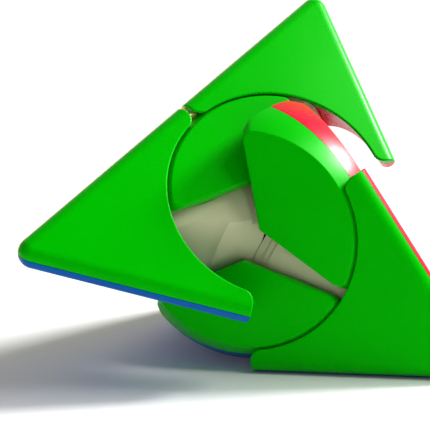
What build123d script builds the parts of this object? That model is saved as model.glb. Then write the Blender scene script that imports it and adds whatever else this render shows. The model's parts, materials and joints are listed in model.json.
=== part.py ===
from build123d import *
import os
from math import sqrt

# Tetrahedral twisty puzzle, part-turned about its right corner, standing on a table.
# Lengths in mm. Puzzle frame while modelling: origin at the core's centre, +Z through corner 0.
# Corners: 0 right, 1 left, 2 rear, 3 top. A face is numbered by the corner opposite it.

# Overall size
EDGE_LENGTH = 104.0      # tetrahedron edge, vertex to vertex before rounding
HORN_DEPTH = 5.8         # from the middle of a tetrahedron edge in to the ball
TURN = -39.5             # how far the left, rear and top corners are turned about corner 0, degrees

# Outside form
EDGE_ROUND = 3.2         # rounding of the tetrahedron's edges and tips
RIM_ROUND = 0.35         # rounding of the corner caps' thin rims
HORN_SHARE = 0.9         # share of a cap's flat horn ends that their rounding takes
TILE_ROUND = 0.5         # rounding of the edge tiles' outlines
TILE_CORNER = 1.8        # rounding of an edge tile's two rim corners, in the plane of its face
HORN_GAP = 1.1           # between the horn ends of two neighbouring corners
SEAM = 0.12              # between two colours of one piece

# Running surfaces
BALL_GAP = 0.3           # between the ball and the caps' hollow undersides
CUT_GAP = 0.4            # between the two sides of a turning cut, measured along its axis
RIB_DEPTH = 3.0          # from a face in to the stalks' conical sides
RING_DEPTH = 0.35        # each of the two ring steps near a stalk's inner end
RING_HEIGHTS = (11.0, 12.3)  # of those steps, along the stalk's axis
APEX_SETBACK = 4.0       # from a face's centre to the pointed end of an edge tile
TILE_GAP = 1.3           # between two edge tiles at the ball's rim
TILE_INSET = 0.15        # from the turning cut's line on the face to a tile's side wall
HUB_HEIGHT = 14.7        # inner end of the corner stalks above the core's centre
HUB_RADIUS = 9.0         # flat inner end of a stalk

# Walls and inner pieces
CAP_WALL = 2.0           # wall of the hollow corner caps
TILE_DEPTH = 3.0         # coloured layer of an edge piece
BOSS_RADIUS = 5.2        # stalk boss held in the caps
BOSS_REACH = 3.0         # boss beyond the caps' inner wall
PAD_RADIUS = 6.2         # stalk shoulder that carries the caps
STALK_FLOOR = 3.0        # stalk material under the spring
CORE_RADIUS = 13.0
ARM_RADIUS = 6.0
ARM_GAP = 0.2            # between a core arm and the stalk's inner end
SCREW_RADIUS = 1.5
SCREW_GAP = 0.3          # radial room round the screw's shank
SCREW_DEPTH = 9.0        # thread inside the core arm
HEAD_HEIGHT = 2.0
WASHER_HEIGHT = 0.6
SPRING_LENGTH = 7.5
SPRING_TURNS = 5
SPRING_WIRE = 0.35       # radius
SPRING_SEAT = 0.1        # running room under and over the spring
POCKET_RADIUS = 3.3      # spring pocket in the stalk
POCKET_GAP = 0.2         # radial room round the washer and the screw's head
KEY_RADIUS = 1.3         # hexagon key's recess in the screw's head

INRADIUS = EDGE_LENGTH / sqrt(24)
MIDRADIUS = EDGE_LENGTH / sqrt(8)
BALL_RADIUS = MIDRADIUS - HORN_DEPTH
CAP_RADIUS = BALL_RADIUS + BALL_GAP
HORN_FLAT = EDGE_LENGTH / sqrt(12) - EDGE_ROUND * sqrt(2) - sqrt(CAP_RADIUS ** 2 - INRADIUS ** 2)
FAR = 2 * EDGE_LENGTH
VERTICES = [Vector(0, 0, 1)]
for number in range(3):
    VERTICES.append(Vector(sqrt(8), 0, -1).rotate(Axis.Z, 120 * number) / 3)


def face_plane(corner, depth=0.0):
    """Plane of the face opposite a corner, facing out, set in by depth."""
    outward = VERTICES[corner] * -1
    return Plane(origin=outward * (INRADIUS - depth), z_dir=outward)


def tetrahedron(depth):
    """Cut the part under construction back to the tetrahedron set in by depth."""
    Box(FAR, FAR, FAR)
    for corner in range(4):
        split(bisect_by=face_plane(corner, depth), keep=Keep.BOTTOM)


def flip(corner):
    """Half turn that swaps corner 0 with another corner."""
    if corner == 0:
        return Location()
    middle = VERTICES[0] + VERTICES[corner]
    return Plane(origin=(0, 0, 0), z_dir=middle).location * Rotation(0, 0, 180) * (
        Plane(origin=(0, 0, 0), z_dir=middle).location.inverse())


def cut_point(toward_edge, toward_corner, sideways):
    """Radius and height, about the opposite corner's axis, of a point on a face."""
    along = Vector(toward_edge, 0) + Vector(toward_corner, 0).rotate(Axis.Z, -60)
    along = along + Vector(sideways, 0).rotate(Axis.Z, 30)
    height = INRADIUS / 3 - along.X * sqrt(8) / 3
    radius = sqrt(INRADIUS ** 2 + along.length ** 2 - height ** 2)
    return radius, height


# Turning cut: the surface round corner 0's axis that carries the tiles' straight outlines.
RIM_CIRCLE = sqrt(BALL_RADIUS ** 2 - INRADIUS ** 2)
CUT_LINE = []
for step in range(6):
    share = step / 5
    CUT_LINE.append(cut_point(APEX_SETBACK * (1 - share), RIM_CIRCLE * share, TILE_GAP / 2 * share))
OUTER_SLOPE = (CUT_LINE[-1][1] - CUT_LINE[-2][1]) / (CUT_LINE[-1][0] - CUT_LINE[-2][0])
OUTSIDE = BALL_RADIUS * 1.3
OUTSIDE_HEIGHT = CUT_LINE[-1][1] + OUTER_SLOPE * (OUTSIDE - CUT_LINE[-1][0])


def cut_cap(lift):
    """Everything on corner 0's side of its turning cut, moved out by lift."""
    with BuildPart() as side:
        with BuildSketch(Plane.XZ):
            with BuildLine():
                Polyline(CUT_LINE[-1], (OUTSIDE, OUTSIDE_HEIGHT), (OUTSIDE, FAR), (0, FAR),
                         (0, HUB_HEIGHT), (HUB_RADIUS, HUB_HEIGHT), CUT_LINE[0])
                Spline(*CUT_LINE)
            make_face()
        revolve(axis=Axis.Z)
    return side.part.moved(Location((0, 0, lift)))


OWN_CAP = cut_cap(CUT_GAP)
OTHER_CAP = cut_cap(0)


def on_face(edges, corner):
    """The edges that lie in the plane of the face opposite a corner."""
    outward = VERTICES[corner] * -1
    return [edge for edge in edges if abs(outward.dot(edge.center()) - INRADIUS) < 0.05
            and abs(outward.dot(edge @ 0) - INRADIUS) < 0.05]


# Prototypes, all about corner 0 or the edge between corners 0 and 1
with BuildPart() as outer_form:
    tetrahedron(0)
    fillet(outer_form.edges(), EDGE_ROUND)

with BuildPart() as hollow:
    tetrahedron(CAP_WALL)
    Sphere(CAP_RADIUS + CAP_WALL, mode=Mode.SUBTRACT)
    top = 3 * (INRADIUS - EDGE_ROUND) - 2 * CAP_WALL
    split(bisect_by=Plane(origin=(0, 0, top), z_dir=(0, 0, 1)), keep=Keep.BOTTOM)
    for corner in range(1, 4):
        away = (VERTICES[0] - VERTICES[corner]).normalized()
        split(bisect_by=Plane(origin=away * (HORN_GAP / 2 + CAP_WALL), z_dir=away), keep=Keep.TOP)

with BuildPart() as cap:
    add(outer_form.part)
    Sphere(CAP_RADIUS, mode=Mode.SUBTRACT)
    for corner in range(1, 4):
        away = (VERTICES[0] - VERTICES[corner]).normalized()
        split(bisect_by=Plane(origin=away * (HORN_GAP / 2), z_dir=away), keep=Keep.TOP)
    horns = [edge for edge in cap.edges() if abs((edge @ 0).length - CAP_RADIUS) < 0.01
             and abs((edge @ 1).length - CAP_RADIUS) < 0.01 and edge.length < HORN_DEPTH * 2]
    fillet(horns, HORN_SHARE * HORN_FLAT)
    rims = [edge for edge in on_face(cap.edges(), 3) if edge.geom_type == GeomType.CIRCLE]
    fillet(rims, RIM_ROUND)
    add(hollow.part, mode=Mode.SUBTRACT)
    Cylinder(BOSS_RADIUS, 2 * (CAP_RADIUS + CAP_WALL), mode=Mode.SUBTRACT)
    for angle, keep in ((0, Keep.TOP), (120, Keep.BOTTOM)):
        across = Vector(0, 1, 0).rotate(Axis.Z, angle)
        inset = SEAM / 2 if keep is Keep.TOP else -SEAM / 2
        split(bisect_by=Plane(origin=across * inset, z_dir=across), keep=keep)

with BuildPart() as tile_core:
    Sphere(BALL_RADIUS - TILE_DEPTH)
    for corner in (2, 3):
        split(bisect_by=face_plane(corner, TILE_DEPTH), keep=Keep.BOTTOM)

with BuildPart() as edge_block:
    add(outer_form.part)
    Sphere(BALL_RADIUS, mode=Mode.INTERSECT)
    add(OWN_CAP, mode=Mode.INTERSECT)
    add(OWN_CAP.moved(flip(1)), mode=Mode.INTERSECT)
    add(OTHER_CAP.moved(flip(2)), mode=Mode.SUBTRACT)
    add(OTHER_CAP.moved(flip(3)), mode=Mode.SUBTRACT)

with BuildPart() as walls:
    face = Plane(origin=VERTICES[3] * -INRADIUS, x_dir=VERTICES[0] + VERTICES[1] - VERTICES[3] * -2 / 3,
                 z_dir=VERTICES[3] * -1)
    with BuildSketch(face):
        point = Vector(APEX_SETBACK + 2 * TILE_INSET, 0)
        ends = []
        for side in (1, -1):
            end = Vector(RIM_CIRCLE, 0).rotate(Axis.Z, 60 * side)
            end = end + Vector(TILE_GAP / 2 + TILE_INSET, 0).rotate(Axis.Z, -30 * side)
            ends.append(point + (end - point) * 4)
        Polygon(point, ends[1], ends[0], align=None)
    extrude(amount=BALL_RADIUS, both=True)

with BuildPart() as sector:
    add(outer_form.part)
    Sphere(BALL_RADIUS, mode=Mode.INTERSECT)
    add(walls.part, mode=Mode.INTERSECT)
    split(bisect_by=Plane(origin=(0, SEAM / 2, 0), z_dir=(0, 1, 0)), keep=Keep.TOP)
    corners = sector.edges().filter_by(GeomType.CIRCLE).sort_by(SortBy.LENGTH)[:2]
    fillet(corners, TILE_CORNER)

with BuildPart() as tile:
    add(edge_block.part)
    add(sector.part, mode=Mode.INTERSECT)
    add(tile_core.part, mode=Mode.SUBTRACT)
    fillet(on_face(tile.edges(), 3), TILE_ROUND)

with BuildPart() as foot:
    add(edge_block.part)
    add(tile_core.part, mode=Mode.INTERSECT)
    add(walls.part, mode=Mode.INTERSECT)
    add(walls.part.moved(flip(1)), mode=Mode.INTERSECT)

# Stations along a corner's axis
STALK_END = HUB_HEIGHT + CUT_GAP
ARM_TOP = STALK_END - ARM_GAP
FLOOR_TOP = STALK_END + STALK_FLOOR
WASHER_BASE = FLOOR_TOP + SPRING_LENGTH
HEAD_BASE = WASHER_BASE + WASHER_HEIGHT
BOSS_TOP = CAP_RADIUS + CAP_WALL + BOSS_REACH
HEAD_RADIUS = POCKET_RADIUS - POCKET_GAP

with BuildPart() as boss:
    Cylinder(PAD_RADIUS, BOSS_TOP, align=(Align.CENTER, Align.CENTER, Align.MIN))
    Sphere(CAP_RADIUS, mode=Mode.INTERSECT)
    Cylinder(BOSS_RADIUS, BOSS_TOP, align=(Align.CENTER, Align.CENTER, Align.MIN))
    Sphere(BALL_RADIUS, mode=Mode.SUBTRACT)

with BuildPart() as stalk:
    Sphere(BALL_RADIUS)
    add(OWN_CAP, mode=Mode.INTERSECT)
    for corner in range(1, 4):
        add(OTHER_CAP.moved(flip(corner)), mode=Mode.SUBTRACT)
    apex = 3 * (INRADIUS - RIB_DEPTH)
    with BuildSketch(Plane.XZ):
        sides = [(0, 0)]
        for step, height in enumerate((0, *RING_HEIGHTS)):
            top = (*RING_HEIGHTS, apex)[step]
            inset = RING_DEPTH * (len(RING_HEIGHTS) - step)
            sides.append(((apex - height) / sqrt(8) - inset, height))
            sides.append(((apex - top) / sqrt(8) - inset, top))
        Polygon(*sides, align=None)
    revolve(axis=Axis.Z, mode=Mode.INTERSECT)
    add(boss.part)
    with BuildSketch(Plane.XY.offset(FLOOR_TOP)):
        Circle(POCKET_RADIUS)
    extrude(amount=BOSS_TOP, mode=Mode.SUBTRACT)
    with BuildSketch(Plane.XY):
        Circle(SCREW_RADIUS + SCREW_GAP)
    extrude(amount=BOSS_TOP, mode=Mode.SUBTRACT)

with BuildPart() as screw:
    with BuildSketch(Plane.XY.offset(ARM_TOP - SCREW_DEPTH)):
        Circle(SCREW_RADIUS)
    extrude(amount=HEAD_BASE - ARM_TOP + SCREW_DEPTH)
    with BuildSketch(Plane.XY.offset(HEAD_BASE)):
        Circle(HEAD_RADIUS)
    extrude(amount=HEAD_HEIGHT)
    with BuildSketch(Plane.XY.offset(HEAD_BASE + HEAD_HEIGHT)):
        RegularPolygon(KEY_RADIUS, 6)
    extrude(amount=-HEAD_HEIGHT * 0.6, mode=Mode.SUBTRACT)

with BuildPart() as washer:
    with BuildSketch(Plane.XY.offset(WASHER_BASE)):
        Circle(HEAD_RADIUS)
        Circle(SCREW_RADIUS, mode=Mode.SUBTRACT)
    extrude(amount=WASHER_HEIGHT)

with BuildPart() as spring:
    room = SPRING_LENGTH - 2 * (SPRING_WIRE + SPRING_SEAT)
    middle_radius = (SCREW_RADIUS + POCKET_RADIUS) / 2
    with BuildLine() as coil:
        Helix(room / SPRING_TURNS, room, middle_radius,
              center=(0, 0, FLOOR_TOP + SPRING_WIRE + SPRING_SEAT))
    with BuildSketch(Plane(origin=coil.line @ 0, z_dir=coil.line % 0)):
        Circle(SPRING_WIRE)
    sweep(path=coil.line)

with BuildPart() as core:
    Sphere(CORE_RADIUS)
    for corner in range(4):
        with BuildSketch(Plane(origin=(0, 0, 0), z_dir=VERTICES[corner])):
            Circle(ARM_RADIUS)
        extrude(amount=ARM_TOP)
    for corner in range(4):
        with BuildSketch(Plane(origin=VERTICES[corner] * ARM_TOP, z_dir=VERTICES[corner])):
            Circle(SCREW_RADIUS)
        extrude(amount=-SCREW_DEPTH, mode=Mode.SUBTRACT)


# Standing on the table: the right corner's lower edge and the rear corner's tip touch it.
def tip_centre(corner):
    """Centre of a corner's rounded tip, in the part-turned puzzle."""
    centre = VERTICES[corner] * (3 * (INRADIUS - EDGE_ROUND))
    return centre if corner == 0 else centre.rotate(Axis.Z, TURN)


lower_edge = VERTICES[0] - VERTICES[1]
down = lower_edge.cross(tip_centre(2) - tip_centre(0)).normalized()
if down.dot(tip_centre(0)) < 0:
    down = down * -1
upright = Plane(origin=(0, 0, 0), x_dir=lower_edge, z_dir=down * -1).location.inverse()
tips = [(upright * Location(tip_centre(corner))).position for corner in range(4)]
MIDDLE_X = (min(tip.X for tip in tips) + max(tip.X for tip in tips)) / 2
MIDDLE_Y = (min(tip.Y for tip in tips) + max(tip.Y for tip in tips)) / 2
BOTTOM_Z = min(tip.Z for tip in tips) - EDGE_ROUND
STAND = Location((-MIDDLE_X, -MIDDLE_Y, -BOTTOM_Z)) * upright
TURNED = STAND * Rotation(0, 0, TURN)

CORNER_NAMES = ("right", "left", "rear", "top")
FACE_COLOURS = ("yellow", "red", "green", "blue")
SWAPS = ((0, 1, 2, 3), (1, 0, 3, 2), (2, 3, 0, 1), (3, 2, 1, 0))    # what each flip does
STEP_FACES = ((3, 2), (1, 3), (2, 1))   # faces either side of corner 0's edges, by thirds of a turn
EDGES = (("bottom_edge", 0, 0), ("rear_right_edge", 0, 1), ("upper_right_edge", 0, 2),
         ("rear_left_edge", 1, 2), ("upper_left_edge", 1, 1), ("rear_top_edge", 2, 0))


def save(piece, name, place):
    """Write a copy of a prototype, moved to its place."""
    copy = piece.part.moved(place)
    copy.label = name
    export_step(copy, f"parts/{name}.step")


os.makedirs("parts", exist_ok=True)
save(core, "core", TURNED)
for corner, corner_name in enumerate(CORNER_NAMES):
    place = (STAND if corner == 0 else TURNED) * flip(corner)
    save(stalk, f"{corner_name}_stalk", place)
    save(screw, f"{corner_name}_screw", place)
    save(washer, f"{corner_name}_washer", place)
    save(spring, f"{corner_name}_spring", place)
    for step, faces in enumerate(STEP_FACES):
        colour = FACE_COLOURS[SWAPS[corner][faces[0]]]
        save(cap, f"{corner_name}_{colour}_cap", place * Rotation(0, 0, 120 * step))

for edge_name, swap, step in EDGES:
    place = (STAND if swap == 0 else TURNED) * flip(swap) * Rotation(0, 0, 120 * step)
    save(foot, f"{edge_name}_foot", place)
    for face, side in zip(STEP_FACES[step], (Location(), flip(1))):
        colour = FACE_COLOURS[SWAPS[swap][face]]
        save(tile, f"{edge_name}_{colour}_tile", place * side)
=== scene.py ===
"""Looks for the part-turned pyramid twisty puzzle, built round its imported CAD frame."""

import json
import logging
import math
from dataclasses import dataclass
from enum import Enum

import bpy
from mathutils import Matrix, Vector

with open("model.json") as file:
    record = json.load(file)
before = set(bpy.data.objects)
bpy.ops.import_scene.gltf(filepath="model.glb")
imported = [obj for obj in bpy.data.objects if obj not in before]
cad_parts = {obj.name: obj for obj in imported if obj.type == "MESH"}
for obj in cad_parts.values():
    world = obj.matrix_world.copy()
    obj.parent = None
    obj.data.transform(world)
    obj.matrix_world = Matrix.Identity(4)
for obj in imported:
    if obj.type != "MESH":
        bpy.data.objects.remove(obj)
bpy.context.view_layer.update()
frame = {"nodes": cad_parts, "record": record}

MM = 0.001
log = logging.getLogger("puzzle")

# The mix node has a set of sockets for each kind of data. These are its colour ones.
MIX_FACTOR, MIX_A, MIX_B, MIX_RESULT = 0, 6, 7, 2
MOTTLE_MM = 18.0        # patches of slightly thinner colour in moulded plastic
SMUDGE_MM = 7.0         # patches that fingers have dulled or polished
POLISHED = 0.07         # roughness that handling takes off
DULLED = 0.09           # roughness that handling adds


class Colour(Enum):
    """A face's colour, as the CAD nodes name it."""

    GREEN = "green"
    RED = "red"
    BLUE = "blue"
    YELLOW = "yellow"


@dataclass(frozen=True)
class Plastic:
    """One moulded plastic: its batch colour and how the tool left its skin."""

    name: str
    colour: str
    thin_colour: str
    roughness: float
    grain_mm: float
    grain_depth_mm: float
    glow_mm: float
    shine: float = 0.20
    sheen: str = "#ffffff"

    def material(self) -> bpy.types.Material:
        """Build the shader: batch mottling, tool grain, handling smudges and a soft inner glow."""
        material, tree = new_material(self.name)
        place = add_node(tree, "ShaderNodeTexCoord").outputs["Object"]
        mottle = add_node(tree, "ShaderNodeTexNoise",
                          {"Vector": place, "Scale": 1 / (MOTTLE_MM * MM), "Detail": 3.0})
        tint = add_node(tree, "ShaderNodeMix",
                        {MIX_FACTOR: mottle.outputs["Fac"], MIX_A: hex_to_linear(self.colour),
                         MIX_B: hex_to_linear(self.thin_colour)}, data_type="RGBA")
        smudge = add_node(tree, "ShaderNodeTexNoise",
                          {"Vector": place, "Scale": 1 / (SMUDGE_MM * MM), "Detail": 5.0,
                           "Roughness": 0.62})
        gloss = add_node(tree, "ShaderNodeMapRange",
                         {"Value": smudge.outputs["Fac"], "To Min": self.roughness - POLISHED,
                          "To Max": self.roughness + DULLED})
        grain = add_node(tree, "ShaderNodeTexNoise",
                         {"Vector": place, "Scale": 1 / (self.grain_mm * MM), "Detail": 2.0})
        relief = add_node(tree, "ShaderNodeBump",
                          {"Height": grain.outputs["Fac"], "Strength": 0.35,
                           "Distance": self.grain_depth_mm * MM})
        shader = add_node(tree, "ShaderNodeBsdfPrincipled",
                          {"Base Color": tint.outputs[MIX_RESULT],
                           "Roughness": gloss.outputs["Result"], "IOR": 1.53,
                           "Specular IOR Level": self.shine,
                           "Specular Tint": hex_to_linear(self.sheen),
                           "Normal": relief.outputs["Normal"],
                           "Subsurface Weight": 0.06, "Subsurface Radius": (1.0, 1.0, 1.0),
                           "Subsurface Scale": self.glow_mm * MM})
        add_node(tree, "ShaderNodeOutputMaterial", {"Surface": shader.outputs["BSDF"]})
        return material


@dataclass(frozen=True)
class PlatedSteel:
    """Nickel-plated steel with fine marks from drawing or turning."""

    name: str
    colour: str
    roughness: float
    mark_mm: float

    def material(self) -> bpy.types.Material:
        """Build the shader: bright metal with close, shallow marks."""
        material, tree = new_material(self.name)
        place = add_node(tree, "ShaderNodeTexCoord").outputs["Object"]
        marks = add_node(tree, "ShaderNodeTexNoise",
                         {"Vector": place, "Scale": 1 / (self.mark_mm * MM), "Detail": 2.0})
        gloss = add_node(tree, "ShaderNodeMapRange",
                         {"Value": marks.outputs["Fac"], "To Min": self.roughness - 0.06,
                          "To Max": self.roughness + 0.08})
        relief = add_node(tree, "ShaderNodeBump",
                          {"Height": marks.outputs["Fac"], "Strength": 0.3,
                           "Distance": 0.004 * MM})
        shader = add_node(tree, "ShaderNodeBsdfPrincipled",
                          {"Base Color": hex_to_linear(self.colour), "Metallic": 1.0,
                           "Roughness": gloss.outputs["Result"],
                           "Normal": relief.outputs["Normal"]})
        add_node(tree, "ShaderNodeOutputMaterial", {"Surface": shader.outputs["BSDF"]})
        return material


@dataclass(frozen=True)
class Paper:
    """Matt white background paper, rolled, with a fine even tooth."""

    name: str
    colour: str
    tooth_mm: float

    def material(self) -> bpy.types.Material:
        """Build the shader: a matt sheet with a barely visible tooth."""
        material, tree = new_material(self.name)
        place = add_node(tree, "ShaderNodeTexCoord").outputs["Object"]
        tooth = add_node(tree, "ShaderNodeTexNoise",
                         {"Vector": place, "Scale": 1 / (self.tooth_mm * MM)})
        relief = add_node(tree, "ShaderNodeBump",
                          {"Height": tooth.outputs["Fac"], "Strength": 0.1, "Distance": 0.02 * MM})
        shader = add_node(tree, "ShaderNodeBsdfPrincipled",
                          {"Base Color": hex_to_linear(self.colour), "Roughness": 0.85,
                           "Normal": relief.outputs["Normal"]})
        add_node(tree, "ShaderNodeOutputMaterial", {"Surface": shader.outputs["BSDF"]})
        return material


# ABS, injection moulded in a polished tool: saturated colour, a satin shine and bright rims. The
# tool grain is drawn coarser than the real one, so that it shows. Pigment tints some of the sheen.
GREEN_ABS = Plastic("green ABS, moulded", "#00b200", "#00a800", 0.30, 0.35, 0.010, 0.6, 0.24,
                    "#40ff38")
RED_ABS = Plastic("red ABS, moulded", "#cc1030", "#c20c28", 0.28, 0.35, 0.010, 0.6, 0.30)
BLUE_ABS = Plastic("blue ABS, moulded", "#0058a6", "#00509c", 0.33, 0.35, 0.010, 0.5, 0.20,
                   "#60b0ff")
YELLOW_ABS = Plastic("yellow ABS, moulded", "#eef000", "#e6e000", 0.33, 0.35, 0.010, 0.6)
# Nylon, injection moulded in a satin tool: warm grey running parts with a soft wide shine.
GREY_NYLON = Plastic("warm grey nylon, moulded", "#c6c6a0", "#b8ba92", 0.42, 0.30, 0.014, 0.8)
# Nylon with carbon black, for the core that stays in shade.
BLACK_NYLON = Plastic("black nylon, moulded", "#161616", "#101010", 0.50, 0.30, 0.014, 0.2)
# Drawn steel, nickel plated: small bright screws, springs and washers.
NICKEL_STEEL = PlatedSteel("steel, nickel plated", "#bcbcbf", 0.26, 0.12)
WHITE_PAPER = Paper("white paper, rolled", "#f7f7f7", 0.6)

FINISHES = {
    "green_plastic": GREEN_ABS, "red_plastic": RED_ABS, "blue_plastic": BLUE_ABS,
    "yellow_plastic": YELLOW_ABS, "grey_plastic": GREY_NYLON, "core_plastic": BLACK_NYLON,
    "steel": NICKEL_STEEL,
}


def hex_to_linear(code: str) -> tuple[float, float, float, float]:
    """Turn a display colour into linear light.

    Args:
        code: The colour as "#rrggbb".

    Returns:
        Red, green, blue and alpha in linear light.
    """
    channels = [int(code[start:start + 2], 16) / 255 for start in (1, 3, 5)]
    linear = [c / 12.92 if c <= 0.04045 else ((c + 0.055) / 1.055) ** 2.4 for c in channels]
    return (*linear, 1.0)


def add_node(tree: bpy.types.NodeTree, kind: str, inputs: dict | None = None,
             **settings: object) -> bpy.types.Node:
    """Add a node with its settings, its sockets' constants and its links.

    Args:
        tree: The material's node tree.
        kind: The node's type.
        inputs: Socket name or index, to a constant or to the output socket that feeds it.
        **settings: Attributes of the node itself.

    Returns:
        The new node.
    """
    node = tree.nodes.new(kind)
    for name, value in settings.items():
        setattr(node, name, value)
    for socket, value in (inputs or {}).items():
        if isinstance(value, bpy.types.NodeSocket):
            tree.links.new(value, node.inputs[socket])
        else:
            node.inputs[socket].default_value = value
    return node


def new_material(name: str) -> tuple[bpy.types.Material, bpy.types.NodeTree]:
    """Make an empty node material.

    Args:
        name: What the material is.

    Returns:
        The material and its cleared node tree.
    """
    material = bpy.data.materials.new(name)
    material.use_nodes = True
    material.node_tree.nodes.clear()
    return material, material.node_tree


class Wardrobe:
    """The finished materials, one for each material slot of the record."""

    def __init__(self) -> None:
        """Build every material once."""
        self.by_slot = {slot: finish.material() for slot, finish in FINISHES.items()}
        self.slot_of = {part["node"]: part["material_slot"]
                        for part in frame["record"]["subparts"]}

    def dress(self, name: str) -> bpy.types.Object:
        """Give a CAD node the material of its slot.

        Args:
            name: The CAD node.

        Returns:
            The dressed object.
        """
        piece = frame["nodes"][name]
        piece.data.materials.clear()
        piece.data.materials.append(self.by_slot[self.slot_of[name]])
        log.info("%s: %s", name, self.slot_of[name])
        return piece


@dataclass
class Corner:
    """One corner: three hollow caps on a stalk, with its screw, spring and washer."""

    name: str
    colours: tuple[Colour, Colour, Colour]

    def build(self, wardrobe: Wardrobe) -> list[bpy.types.Object]:
        """Dress the corner's pieces.

        Args:
            wardrobe: The materials by slot.

        Returns:
            The dressed objects.
        """
        names = [f"{self.name}_{colour.value}_cap" for colour in self.colours]
        names += [f"{self.name}_{piece}" for piece in ("stalk", "screw", "spring", "washer")]
        return [wardrobe.dress(name) for name in names]


@dataclass
class Edge:
    """One edge piece: two coloured tiles on a grey foot."""

    name: str
    colours: tuple[Colour, Colour]

    def build(self, wardrobe: Wardrobe) -> list[bpy.types.Object]:
        """Dress the edge's pieces.

        Args:
            wardrobe: The materials by slot.

        Returns:
            The dressed objects.
        """
        names = [f"{self.name}_{colour.value}_tile" for colour in self.colours]
        names.append(f"{self.name}_foot")
        return [wardrobe.dress(name) for name in names]


CORNERS = (
    Corner("right", (Colour.GREEN, Colour.RED, Colour.BLUE)),
    Corner("left", (Colour.GREEN, Colour.BLUE, Colour.YELLOW)),
    Corner("rear", (Colour.BLUE, Colour.RED, Colour.YELLOW)),
    Corner("top", (Colour.GREEN, Colour.RED, Colour.YELLOW)),
)
EDGES = (
    Edge("bottom_edge", (Colour.GREEN, Colour.BLUE)),
    Edge("upper_right_edge", (Colour.GREEN, Colour.RED)),
    Edge("upper_left_edge", (Colour.GREEN, Colour.YELLOW)),
    Edge("rear_right_edge", (Colour.RED, Colour.BLUE)),
    Edge("rear_left_edge", (Colour.BLUE, Colour.YELLOW)),
    Edge("rear_top_edge", (Colour.RED, Colour.YELLOW)),
)


@dataclass
class FarLamp:
    """One diffused lamp, far enough off to light the whole floor evenly."""

    name: str
    toward: tuple[float, float, float]
    spread: float
    strength: float

    def build(self) -> bpy.types.Object:
        """Aim the lamp.

        Returns:
            The lamp.
        """
        lamp = bpy.data.lights.new(self.name, "SUN")
        lamp.angle = math.radians(self.spread)
        lamp.energy = self.strength
        holder = bpy.data.objects.new(self.name, lamp)
        bpy.context.scene.collection.objects.link(holder)
        holder.rotation_euler = Vector(self.toward).to_track_quat("Z", "Y").to_euler()
        log.info("%s: %.1f W/m2 through %.0f degrees", self.name, self.strength, self.spread)
        return holder


@dataclass
class SoftBox:
    """One square studio lamp behind diffusion cloth, facing the puzzle."""

    name: str
    place: tuple[float, float, float]
    side: float
    watts: float
    aim: tuple[float, float, float] = (0.0, 0.0, 0.04)

    def build(self) -> bpy.types.Object:
        """Hang the lamp and point it at the puzzle.

        Returns:
            The lamp.
        """
        lamp = bpy.data.lights.new(self.name, "AREA")
        lamp.size = self.side
        lamp.energy = self.watts
        holder = bpy.data.objects.new(self.name, lamp)
        bpy.context.scene.collection.objects.link(holder)
        holder.location = self.place
        toward = Vector(self.aim) - Vector(self.place)
        holder.rotation_euler = toward.to_track_quat("-Z", "Y").to_euler()
        log.info("%s: %.0f mm square, %.2f W", self.name, self.side / MM, self.watts)
        return holder


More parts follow.
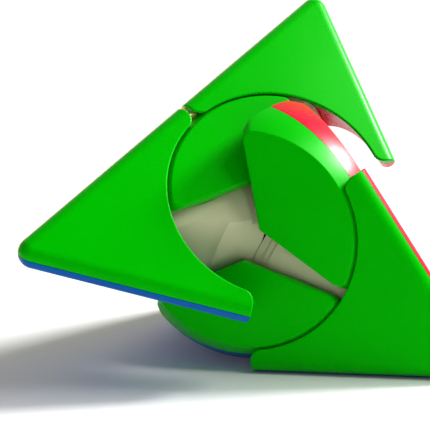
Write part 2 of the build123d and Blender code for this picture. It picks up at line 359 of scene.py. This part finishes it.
@dataclass
class Studio:
    """The paper floor, the room with its lit white wall behind, and the lamps."""

    floor_reach: float = 3.0
    room: float = 0.20
    wall: float = 1.05
    wall_side: tuple[float, float, float] = (-0.249, 0.968, 0.0)
    wall_fade: tuple[float, float] = (0.45, 0.82)
    lamps: tuple[FarLamp, ...] = (
        FarLamp("key lamp", (0.74, 0.30, 0.60), 14.0, 5.0),
    )
    boxes: tuple[SoftBox, ...] = (
        SoftBox("near softbox", (0.17, -0.04, 0.22), 0.12, 0.36),
    )

    def build(self) -> None:
        """Lay the floor, light the room and hang the lamps."""
        mesh = bpy.data.meshes.new("paper floor")
        reach = self.floor_reach
        corners = [(x * reach, y * reach, 0) for x, y in ((-1, -1), (1, -1), (1, 1), (-1, 1))]
        mesh.from_pydata(corners, [], [(0, 1, 2, 3)])
        floor = bpy.data.objects.new("paper_floor", mesh)
        bpy.context.scene.collection.objects.link(floor)
        mesh.materials.append(WHITE_PAPER.material())
        bpy.context.scene.world = self.surroundings()
        for lamp in (*self.lamps, *self.boxes):
            lamp.build()

    def surroundings(self) -> bpy.types.World:
        """Light the room: dim all round, with a white wall behind the puzzle.

        Returns:
            The world.
        """
        world = bpy.data.worlds.new("room with a white wall")
        world.use_nodes = True
        tree = world.node_tree
        tree.nodes.clear()
        place = add_node(tree, "ShaderNodeTexCoord").outputs["Generated"]
        toward = add_node(tree, "ShaderNodeVectorMath", {0: place, 1: self.wall_side},
                          operation="DOT_PRODUCT")
        level = add_node(tree, "ShaderNodeMapRange",
                         {"Value": toward.outputs["Value"], "From Min": self.wall_fade[0],
                          "From Max": self.wall_fade[1], "To Min": self.room,
                          "To Max": self.wall},
                         interpolation_type="SMOOTHSTEP")
        glow = add_node(tree, "ShaderNodeBackground",
                        {"Color": hex_to_linear("#ffffff"), "Strength": level.outputs["Result"]})
        add_node(tree, "ShaderNodeOutputWorld", {"Surface": glow.outputs["Background"]})
        return world


@dataclass
class Camera:
    """The camera: where it looks, from which side, how far off and through what lens."""

    aim_mm: tuple[float, float, float] = (-13.65, -4.48, 32.12)
    azimuth: float = 14.42
    elevation: float = 5.81
    roll: float = 2.78
    distance_mm: float = 157.5
    lens_mm: float = 55.5

    def build(self) -> bpy.types.Object:
        """Set up the scene's camera.

        Returns:
            The camera.
        """
        lens = bpy.data.cameras.new("camera")
        lens.lens = self.lens_mm
        lens.sensor_width = 36.0
        lens.clip_start = 0.005
        camera = bpy.data.objects.new("camera", lens)
        bpy.context.scene.collection.objects.link(camera)
        turn = Matrix.Rotation(math.radians(self.azimuth), 4, "Z")
        lift = Matrix.Rotation(math.radians(90 - self.elevation), 4, "X")
        bank = Matrix.Rotation(math.radians(-self.roll), 4, "Z")
        retreat = Matrix.Translation((0, 0, self.distance_mm * MM))
        camera.matrix_world = (Matrix.Translation(Vector(self.aim_mm) * MM) @ turn @ lift @ bank
                               @ retreat)
        bpy.context.scene.camera = camera
        log.info("camera: %.0f mm lens, %.0f mm off", self.lens_mm, self.distance_mm)
        return camera


def main() -> None:
    """Dress the puzzle, then set up the studio and the camera."""
    logging.basicConfig(level=logging.INFO, format="%(name)s %(message)s")
    wardrobe = Wardrobe()
    for piece in (*CORNERS, *EDGES):
        piece.build(wardrobe)
    wardrobe.dress("core")
    Studio().build()
    Camera().build()
    bpy.context.scene.view_settings.view_transform = "Standard"


if __name__ == "__main__":
    main()
